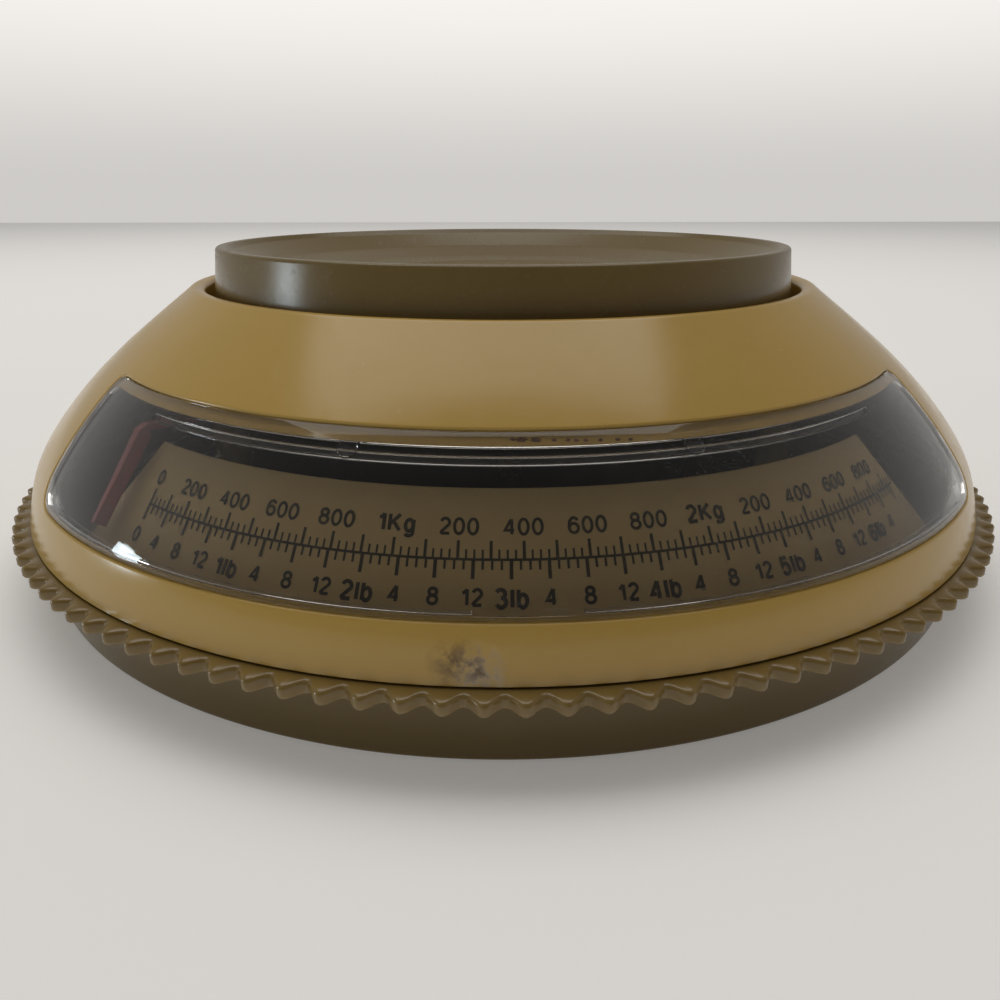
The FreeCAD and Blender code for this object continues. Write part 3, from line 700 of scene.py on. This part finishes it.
def build_lens():
    fit = 0.15
    edge = 0.35
    front_depth = 0.02
    front = window_outline(fit + edge)
    loops = [loop_on_dome(front, front_depth)]
    steps = 3
    for step in range(1, steps + 1):
        turn = math.pi / 2 * step / steps
        inset = fit + edge * (1 - math.sin(turn))
        loops.append(loop_on_dome(window_outline(inset), front_depth + edge * (1 - math.cos(turn))))
    back = window_outline(LEDGE_SIDE + fit, LEDGE_TOP + fit)
    flange_depth = LEDGE_DEPTH - 0.1
    loops += [loop_on_dome(window_outline(fit), flange_depth), loop_on_dome(back, flange_depth),
              loop_on_dome(back, LENS_WALL)]
    walls = [strip_between(low, high) for low, high in zip(loops, loops[1:])]
    vertices, faces = merge(lens_skin(front_depth, front), lens_skin(LENS_WALL, back), *walls)
    lens = add_object("window", vertices, faces, CLEAR, "base", "clear_plastic")
    sharp_by_angle(lens, 30)
    top_rib = (WINDOW_TOP_S - 4.6, WINDOW_TOP_S - 3.4)
    low_rib = (WINDOW_LOW_S + 0.95, WINDOW_LOW_S + 1.5)
    ribs = [
        dome_rib(top_rib, (RIB_START, 3.8), (-TOP_RIB_AZIMUTH, TOP_RIB_AZIMUTH)),
        dome_rib(low_rib, (RIB_START, 3.4), (-LOW_RIB_AZIMUTH, -NOTCH_AZIMUTH)),
        dome_rib(low_rib, (RIB_START, 3.4), (NOTCH_AZIMUTH, LOW_RIB_AZIMUTH)),
    ]
    peg_azimuth = 17
    ribs += [lens_peg(azimuth) for azimuth in (-peg_azimuth, peg_azimuth)]
    vertices, faces = merge(*ribs)
    rib = add_object("window_ribs", vertices, faces, CLEAR, "base", "clear_plastic")
    sharp_by_angle(rib, 30)
    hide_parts("window_lens")


# ---------------------------------------------------------------- pan
def build_pan():
    rim_r = 65.2
    skirt_r = 66.5
    top = pan_high[2]
    bottom = pan_low[2]
    floor_z = 57.8
    under_z = 55.7
    lug_bottom = bottom + 1.0
    outline = rounded([
        (0.0, floor_z, 0), (40.5, floor_z, 3.0), (46.0, 58.6, 6.0), (55.0, 60.9, 6.0),
        (62.2, top - 1.1, 1.2), (63.3, top, 0.55), (rim_r, top, 0.75),
        (skirt_r, bottom, 0.5), (skirt_r - 1.9, bottom, 0.5), (63.3, 61.6, 1.0), (54.0, 58.2, 0.6),
        (54.0, lug_bottom, 0.4), (52.6, lug_bottom, 0.4), (52.6, under_z, 0.5), (0.0, under_z, 0)], steps=6)
    vertices, faces = lathe_faces(outline, 360, False)
    pan = add_object("pan", vertices, faces, OLIVE, "pan", "olive_plastic")
    sharp_by_angle(pan, 45)
    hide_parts("weighing_pan")


# ---------------------------------------------------------------- base and ring
def build_base():
    foot_r = 103.6
    rim_r = 103.4
    inner_r = rim_r - 2.2
    low = base_low[2]
    top = base_high[2]
    floor_top = 3.0
    seat_top = 11.2
    groove = low + 0.5
    outline = rounded([
        (0.0, low, 0), (96.0, low, 0.5), (97.0, groove, 0.5), (101.5, groove, 0.5), (102.0, low, 0.3),
        (foot_r, low, 0.9), (rim_r, top, 0.5), (inner_r, top, 0.5), (inner_r, floor_top, 0.8),
        (98.7, floor_top, 0.8), (98.7, seat_top, 0.4), (95.8, seat_top, 0.4), (95.8, floor_top, 0.8),
        (0.0, floor_top, 0)], steps=5)
    vertices, faces = lathe_faces(outline, 360, False)
    base = add_object("base", vertices, faces, SHADED_BASE_OLIVE, "base", "olive_plastic")
    sharp_by_angle(base, 45)
    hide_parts("base_tray")


def tooth_radius(turn):
    """Radius of the toothed edge at a share of one tooth's pitch, 0 at a tip."""
    wave = 0.5 + 0.5 * math.cos(2 * math.pi * turn)
    return TOOTH_ROOT_R + (RING_TIP_R - TOOTH_ROOT_R) * wave


def build_ring():
    teeth = 125
    per_tooth = 12
    phase = -0.33
    segments = teeth * per_tooth
    edge = 0.55
    skirt_bottom = 9.0
    section = [(90.5, RING_BOTTOM + 0.3), (90.8, RING_BOTTOM), (99.2, RING_BOTTOM), (99.2, skirt_bottom),
               (100.7, skirt_bottom), (100.7, RING_BOTTOM)]
    rows = []
    for column in range(segments):
        azimuth = phase + 360 * column / segments
        reach = tooth_radius(column / per_tooth)
        outline = section + [
            (reach - 1.4 * edge, RING_BOTTOM), (reach - 0.4 * edge, RING_BOTTOM + 0.35 * edge),
            (reach, RING_BOTTOM + edge), (reach, RING_TOP - edge),
            (reach - 0.4 * edge, RING_TOP - 0.35 * edge), (reach - 1.4 * edge, RING_TOP),
            (106.4, RING_TOP), (90.8, RING_TOP), (90.5, RING_TOP - 0.3)]
        rows.append([point_at(radius, azimuth, z) for radius, z in outline])
    count = len(rows[0])
    vertices = [vertex for row in rows for vertex in row]
    faces = []
    for column in range(segments):
        following = (column + 1) % segments
        for index in range(count):
            upper = (index + 1) % count
            faces.append((column * count + index, following * count + index,
                          following * count + upper, column * count + upper))
    ring = add_object("toothed_ring", vertices, faces, RING_OLIVE, "zero_dial", "olive_plastic")
    sharp_by_angle(ring, 50)
    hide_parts("zero_ring")


# ---------------------------------------------------------------- dial and its printing
def dial_offset(drop, lift):
    """(radius, z) at a drop down the dial's slope from its top edge and a lift off its face."""
    radius = DIAL_TOP[0] + drop * math.sin(DIAL_SLOPE) + lift * math.cos(DIAL_SLOPE)
    return radius, DIAL_TOP[1] - drop * math.cos(DIAL_SLOPE) + lift * math.sin(DIAL_SLOPE)


def on_dial(azimuth, drop, lift=0.0):
    radius, z = dial_offset(drop, lift)
    return point_at(radius, azimuth, z)


DIAL_DROP = (DIAL_TOP[1] - RING_TOP) / math.cos(DIAL_SLOPE)
TICK_LINE_Z = 26.3
TICK_LINE_DROP = (DIAL_TOP[1] - TICK_LINE_Z) / math.cos(DIAL_SLOPE)
INK_LIFT = 0.04


def dial_end(drop):
    """Half angle of the dial at a drop below its top edge."""
    top_half, low_half = 44.0, 51.5
    return top_half + (low_half - top_half) * drop / DIAL_DROP


def build_dial():
    columns = 110
    section = rounded([(0.0, 0.0, 0.25), (DIAL_DROP, 0.0, 0), (DIAL_DROP - 2.2, -DIAL_WALL, 0.6),
                       (0.0, -DIAL_WALL, 0.25)], closed=True, steps=3)
    vertices = []
    for column in range(columns + 1):
        share = 2 * column / columns - 1
        vertices += [on_dial(share * dial_end(drop), drop, lift) for drop, lift in section]
    count = len(section)
    faces = []
    for column in range(columns):
        for index in range(count):
            upper = (index + 1) % count
            faces.append((column * count + index, (column + 1) * count + index,
                          (column + 1) * count + upper, column * count + upper))
    faces.append(tuple(range(count)))
    faces.append(tuple(reversed(range(columns * count, columns * count + count))))
    foot_top = RING_TOP + 1.5
    foot_outline = [(91.0, RING_TOP, 0.2), (99.6, RING_TOP, 0), (98.6, foot_top, 0),
                    (91.0, foot_top, 0.4)]
    foot_azimuth = 51.2
    foot = lathe_faces(rounded(foot_outline, closed=True), 100, True, (-foot_azimuth, foot_azimuth))
    dial = add_object("dial", *merge((vertices, faces), foot), DIAL, "zero_dial", "dial_cream")
    sharp_by_angle(dial, 35)
    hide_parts("dial_plate")


TICK_LINE_R = 92.0


def mark(azimuth, half_width, drop_from, drop_to):
    """A printed stroke down the dial's face."""
    half_angle = math.degrees(half_width / TICK_LINE_R)
    corners = [(-half_angle, drop_from), (half_angle, drop_from), (half_angle, drop_to),
               (-half_angle, drop_to)]
    return [on_dial(azimuth + side, drop, INK_LIFT) for side, drop in corners], [(0, 1, 2, 3)]


def tick_marks():
    marks = []
    full_scale = 2.975
    division_kg = 0.025
    steps = int(full_scale / division_kg)
    for index in range(steps + 1):
        azimuth = ZERO_AZIMUTH + division_kg * index * DEGREES_PER_KG
        is_tall = index % 4 == 0
        height = 2.7 if is_tall else 1.44
        marks.append(mark(azimuth, 0.23 if is_tall else 0.16, TICK_LINE_DROP - height, TICK_LINE_DROP))
    ounces = int(full_scale / OUNCE_KG)
    for index in range(ounces + 1):
        azimuth = ZERO_AZIMUTH + OUNCE_KG * index * DEGREES_PER_KG
        is_tall = index % 4 == 0
        height = 2.76 if is_tall else 1.44
        marks.append(mark(azimuth, 0.26 if is_tall else 0.18, TICK_LINE_DROP, TICK_LINE_DROP + height))
    line = []
    span = full_scale * DEGREES_PER_KG
    pieces = 120
    half_line = 0.19
    for index in range(pieces + 1):
        azimuth = ZERO_AZIMUTH + span * index / pieces
        line += [on_dial(azimuth, TICK_LINE_DROP - half_line, INK_LIFT * 1.2),
                 on_dial(azimuth, TICK_LINE_DROP + half_line, INK_LIFT * 1.2)]
    quads = [(2 * i, 2 * i + 1, 2 * i + 3, 2 * i + 2) for i in range(pieces)]
    marks.append((line, quads))
    return merge(*marks)


def arc(centre, radii, start, end, steps=14):
    """Points of an elliptical arc, angles in degrees anticlockwise from the right."""
    points = []
    for step in range(steps + 1):
        turn = math.radians(start + (end - start) * step / steps)
        points.append((centre[0] + radii[0] * math.cos(turn), centre[1] + radii[1] * math.sin(turn)))
    return points


# Strokes of each character in a unit box, and the box's width as a share of its height.
GLYPHS = {
    "0": (0.60, [arc((0.5, 0.5), (0.5, 0.5), 90, 450, 28)]),
    "1": (0.34, [[(0.0, 0.76), (0.45, 0.80), (0.88, 1.0)], [(0.92, 1.0), (0.92, 0.0)]]),
    "2": (0.58, [arc((0.5, 0.72), (0.47, 0.28), 165, -25) + [(0.10, 0.12), (0.03, 0.0)],
                 [(0.0, 0.0), (1.0, 0.0)]]),
    "3": (0.58, [arc((0.47, 0.76), (0.43, 0.24), 160, -85), arc((0.5, 0.27), (0.5, 0.27), 92, -160)]),
    "4": (0.60, [[(0.70, 1.0), (0.0, 0.27), (1.0, 0.27)], [(0.74, 1.0), (0.74, 0.0)]]),
    "5": (0.58, [[(0.92, 1.0), (0.20, 1.0), (0.08, 0.50)] + arc((0.49, 0.33), (0.5, 0.33), 140, -155)]),
    "6": (0.60, [arc((0.5, 0.31), (0.5, 0.31), 90, 450, 24), arc((0.56, 0.46), (0.56, 0.54), 42, 195)]),
    "8": (0.60, [arc((0.5, 0.77), (0.42, 0.23), 90, 450, 24),
                 arc((0.5, 0.27), (0.5, 0.27), 90, 450, 24)]),
    "K": (0.66, [[(0.0, 0.0), (0.0, 1.0)], [(0.95, 1.0), (0.0, 0.36)], [(0.32, 0.58), (1.0, 0.0)]]),
    "g": (0.50, [arc((0.48, 0.36), (0.48, 0.36), 90, 450, 24),
                 [(1.0, 0.72), (1.0, -0.08)] + arc((0.5, -0.10), (0.5, 0.18), 0, -155)]),
    "l": (0.0, [[(0.0, 0.0), (0.0, 1.0)]]),
    "b": (0.50, [[(0.0, 0.0), (0.0, 1.0)], arc((0.5, 0.36), (0.5, 0.36), 90, 450, 24)]),
}
GLYPH_GAP = 0.10


def stroke(points, width):
    """Flat ribbon of even width along the points."""
    points = [Vector(point) for point in points]
    closed = (points[0] - points[-1]).length < 1e-6
    vertices = []
    for index, point in enumerate(points):
        before = points[index - 1] if index else (points[-2] if closed else None)
        after = points[index + 1] if index < len(points) - 1 else (points[1] if closed else None)
        arrive = (point - before).normalized() if before else (after - point).normalized()
        leave = (after - point).normalized() if after else arrive
        middle = (arrive + leave).normalized()
        reach = min(1 / max(middle.dot(arrive), 0.3), 1.8)
        side = Vector((-middle.y, middle.x)) * width / 2 * reach
        vertices += [point + side, point - side]
    faces = [(2 * i, 2 * i + 1, 2 * i + 3, 2 * i + 2) for i in range(len(points) - 1)]
    return vertices, faces


def lettering(text, height, width):
    """Flat mesh of a label, centred across and standing on its base line, in millimetres."""
    parts = []
    cursor = 0.0
    for character in text:
        share, strokes = GLYPHS[character]
        box_width = share * (height - width)
        for points in strokes:
            left = cursor + width / 2
            placed = [(left + u * box_width, width / 2 + v * (height - width)) for u, v in points]
            parts.append(stroke(placed, width))
        cursor += box_width + width + GLYPH_GAP * height
    vertices, faces = merge(*parts)
    centre = (cursor - GLYPH_GAP * height) / 2
    return [(v[0] - centre, v[1]) for v in vertices], faces


def label(text, azimuth, height, width, base_drop):
    vertices, faces = lettering(text, height, width)
    placed = []
    for across, up in vertices:
        radius = DIAL_TOP[0] + (base_drop - up) * math.sin(DIAL_SLOPE)
        placed.append(on_dial(azimuth + math.degrees(across / radius), base_drop - up, INK_LIFT * 1.5))
    return placed, faces


def numerals():
    labels = []
    kg_base = TICK_LINE_DROP - 2.7 - 0.72
    ounce_base = TICK_LINE_DROP + 6.6
    pound_base = TICK_LINE_DROP + 6.9
    for index in range(15):
        grams = 200 * index
        whole = grams and grams % 1000 == 0
        text = "%dKg" % (grams // 1000) if whole else str(grams % 1000)
        azimuth = ZERO_AZIMUTH + grams / 1000 * DEGREES_PER_KG
        labels.append(label(text, azimuth, 2.9 if whole else 2.65, 0.54 if whole else 0.45, kg_base))
    for index in range(26):
        whole = index and index % 4 == 0
        text = "%dlb" % (index // 4) if whole else str(4 * (index % 4))
        azimuth = ZERO_AZIMUTH + index * 4 * OUNCE_KG * DEGREES_PER_KG
        if whole:
            labels.append(label(text, azimuth, 3.0, 0.58, pound_base))
        else:
            labels.append(label(text, azimuth, 2.65, 0.48, ounce_base))
    return merge(*labels)


def build_printing():
    add_object("dial_ticks", *tick_marks(), INK, "zero_dial", "dial_cream", smooth=False)
    add_object("dial_numerals", *numerals(), INK, "zero_dial", "dial_cream", smooth=False)


# ---------------------------------------------------------------- pointer
def build_pointer():
    off_dial = 2.3
    blade_length = 17.2
    half_thickness = 1.1
    arm_low = 36.5
    arm_top = 37.7
    top_r = DIAL_TOP[0] + off_dial * math.cos(DIAL_SLOPE)
    turn = math.radians(POINTER_AZIMUTH)

    def placed(x, radius, z):
        """Point beside the pointer's own meridian."""
        out = Vector((math.sin(turn), -math.cos(turn), 0))
        across = Vector((math.cos(turn), math.sin(turn), 0))
        return out * radius + across * x + Vector((0, 0, z))

    stations = []
    for radius, half in ((8.0, 3.0), (40.0, 2.2), (70.0, 1.5), (top_r - 2.0, 1.05), (top_r - 0.6, 1.0)):
        stations.append((radius, arm_top, arm_low, half))
    pieces = 10
    for step in range(pieces + 1):
        along = blade_length * step / pieces
        radius, z = dial_offset(along, off_dial)
        stations.append((radius, z, None, 1.0 - 0.4 * step / pieces))
    rows = []
    outward = half_thickness * math.cos(DIAL_SLOPE)
    upward = half_thickness * math.sin(DIAL_SLOPE)
    for radius, z, low, half in stations:
        if low is None:
            out_r, out_z = radius + outward, z + upward
            in_r, in_z = radius - outward, z - upward
        else:
            out_r, out_z, in_r, in_z = radius, z, radius, low
        rows.append([placed(-half, out_r, out_z), placed(half, out_r, out_z),
                     placed(half, in_r, in_z), placed(-half, in_r, in_z)])
    vertices = [vertex for row in rows for vertex in row]
    faces = []
    for index in range(len(rows) - 1):
        first = 4 * index
        for side in range(4):
            nearby = (side + 1) % 4
            faces.append((first + side, first + nearby, first + 4 + nearby, first + 4 + side))
    faces += [(0, 1, 2, 3), tuple(range(len(vertices) - 1, len(vertices) - 5, -1))]
    hub_r, boss_r = 5.8, 9.0
    boss_outline = [(hub_r, arm_low, 0.2), (boss_r, arm_low, 0.3), (boss_r, arm_top, 0.3),
                    (hub_r, arm_top, 0.2)]
    boss = lathe_faces(rounded(boss_outline, closed=True), 64)
    tail_outline = [(-2.5, -8.0), (2.5, -8.0), (7.0, -28.0), (-7.0, -28.0)]
    tail = [placed(x, radius, z) for z in (arm_low, arm_top) for x, radius in tail_outline]
    tail_faces = [(0, 1, 2, 3), (7, 6, 5, 4), (0, 4, 5, 1), (1, 5, 6, 2), (2, 6, 7, 3), (3, 7, 4, 0)]
    arm_and_blade = merge((vertices, faces), boss, (tail, tail_faces))
    pointer = add_object("pointer_blade", *arm_and_blade, RED, "indicator", "red_paint")
    sharp_by_angle(pointer, 35)
    bevel = pointer.modifiers.new("soft_edges", "BEVEL")
    bevel.width = 0.12 * MM
    bevel.segments = 2
    bevel.limit_method = "ANGLE"
    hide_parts("pointer")


# ---------------------------------------------------------------- traces of use
def blob(azimuth, s, depth, radii, seed):
    """Irregular patch lying on the dome at a depth."""
    count = 18
    roughness = 0.25
    random = np.random.default_rng(seed)
    centre = on_dome(azimuth, s, depth)
    rim = []
    for index in range(count):
        turn = 2 * math.pi * index / count
        reach = 1 + roughness * float(random.uniform(-1, 1))
        across = radii[0] * reach * math.cos(turn)
        rim.append(on_dome(azimuth + across / DEGREE_MM, s + radii[1] * reach * math.sin(turn), depth))
    faces = [(0, 1 + index, 1 + (index + 1) % count) for index in range(count)]
    return [centre] + rim, faces


def build_marks():
    """Rusty glue spots on the ledge above the window."""
    spots = []
    spot_s = WINDOW_TOP_S - 0.5 * LEDGE_TOP
    spot_depth = LEDGE_DEPTH - 0.04
    spot_count = 10
    first_seed = 20
    for index in range(spot_count):
        is_large = index in (1, 2)
        radii = (0.95, 0.36) if is_large else (0.42, 0.26)
        azimuth = -1.0 + 1.22 * index + 0.4 * math.sin(5.0 * index)
        spots.append(blob(azimuth, spot_s - 0.07 * index, spot_depth, radii, first_seed + index))
    add_object("glue_spots", *merge(*spots), RUST, "base", "cream_plastic")


# ---------------------------------------------------------------- CAD nodes that stay, with better finishes
def finish_nodes():
    finishes = {
        DRUM: ["mechanism_housing"],
        WHITE: ["load_platform", "pointer_gear", "rack_bar", "rack_guides"],
        ZINC: ["chassis_plate", "bridge_plate", "bridge_posts", "crank_bracket", "bell_crank"],
        BRIGHT: ["guide_tower", "plunger", "cross_pin", "crank_pivot_pin", "rack_pin", "chassis_screws",
                 "bridge_screws", "cover_screws", "dial_screws", "platform_screw"],
        SPRING: ["main_spring", "ring_spring", "retaining_clip"],
        BRASS: ["spring_collar", "calibration_screw"],
        RUBBER: ["rubber_feet"],
    }
    for material, names in finishes.items():
        for name in names:
            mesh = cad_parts[name].data
            mesh.materials.clear()
            mesh.materials.append(material)


# ---------------------------------------------------------------- stage, light and camera
def build_stage():
    size = 1.9
    bpy.ops.mesh.primitive_grid_add(x_subdivisions=2, y_subdivisions=2, size=2 * size)
    floor = bpy.context.object
    floor.name = "floor"
    mat = Nodes("pale_floor")
    mat.colour(mat.mix(mat.noise(3.0), (0.92, 0.91, 0.90), (0.89, 0.88, 0.87)))
    mat.set(Roughness=0.9, Emission_Color=(1.0, 0.99, 0.97, 1), Emission_Strength=0.18)
    floor.data.materials.append(mat.material)


def area_light(name, place, target, size, power, colour):
    light = bpy.data.lights.new(name, "AREA")
    light.shape = "RECTANGLE"
    light.size, light.size_y = size
    light.energy = power
    light.color = colour
    obj = bpy.data.objects.new(name, light)
    bpy.context.scene.collection.objects.link(obj)
    obj.location = place
    obj.rotation_euler = (Vector(target) - Vector(place)).to_track_quat("-Z", "Y").to_euler()
    return obj


def ranged(tree, source, from_range, to_range, interpolation="LINEAR"):
    node = tree.nodes.new("ShaderNodeMapRange")
    node.interpolation_type = interpolation
    for name, value in zip(("From Min", "From Max", "To Min", "To Max"), from_range + to_range):
        node.inputs[name].default_value = value
    tree.links.new(source, node.inputs["Value"])
    return node.outputs["Result"]


def combined(tree, operation, first, second):
    node = tree.nodes.new("ShaderNodeMath")
    node.operation = operation
    for index, value in enumerate((first, second)):
        if isinstance(value, float):
            node.inputs[index].default_value = value
        else:
            tree.links.new(value, node.inputs[index])
    return node.outputs[0]


def build_light():
    """Dim room light with a pale backdrop, a softbox overhead and a cool strip at the side."""
    world = bpy.data.worlds.new("studio")
    world.use_nodes = True
    tree = world.node_tree
    background = tree.nodes["Background"]
    background.inputs["Color"].default_value = (1.0, 0.97, 0.93, 1)
    split = tree.nodes.new("ShaderNodeSeparateXYZ")
    tree.links.new(tree.nodes.new("ShaderNodeTexCoord").outputs["Generated"], split.inputs[0])
    by_height = ranged(tree, split.outputs["Z"], (0.05, 0.75), (0.40, 0.22))
    by_front = ranged(tree, split.outputs["Y"], (-0.80, 0.15), (0.27, 1.0), "SMOOTHSTEP")
    room = combined(tree, "MULTIPLY", by_height, by_front)
    seen = tree.nodes.new("ShaderNodeLightPath").outputs["Is Camera Ray"]
    backdrop = ranged(tree, split.outputs["Z"], (0.0, 0.22), (0.62, 0.93), "SMOOTHSTEP")
    extra = combined(tree, "MULTIPLY", combined(tree, "SUBTRACT", backdrop, room), seen)
    tree.links.new(combined(tree, "ADD", room, extra), background.inputs["Strength"])
    bpy.context.scene.world = world
    warm_white = (1.0, 0.97, 0.92)
    cool_white = (0.80, 0.93, 1.0)
    area_light("top_softbox", (-0.10, 0.46, 1.5), (-0.10, 0.46, 0), (1.8, 1.2), 12.5, warm_white)
    area_light("side_strip", (-1.42, -0.10, 0.13), (0, -0.10, 0.06), (0.2, 0.24), 2.1, cool_white)


def build_camera():
    camera = bpy.data.cameras.new("camera")
    camera.lens = 28.8
    camera.sensor_width = 36.0
    camera.shift_x = -0.0032
    camera.shift_y = -0.05
    camera.clip_start = 0.005
    obj = bpy.data.objects.new("camera", camera)
    bpy.context.scene.collection.objects.link(obj)
    distance = 1.794 * RING_TIP_R * MM
    height = 0.701 * RING_TIP_R * MM
    azimuth = math.radians(-1.9)
    pitch_down = 18.0
    obj.location = (distance * math.sin(azimuth), -distance * math.cos(azimuth), height)
    obj.rotation_euler = (math.radians(90 - pitch_down), 0, azimuth)
    bpy.context.scene.camera = obj


build_cover()
build_lens()
build_pan()
build_base()
build_ring()
build_dial()
build_printing()
build_pointer()
build_marks()
finish_nodes()
build_stage()
build_light()
build_camera()
bpy.context.scene.view_settings.view_transform = "Standard"
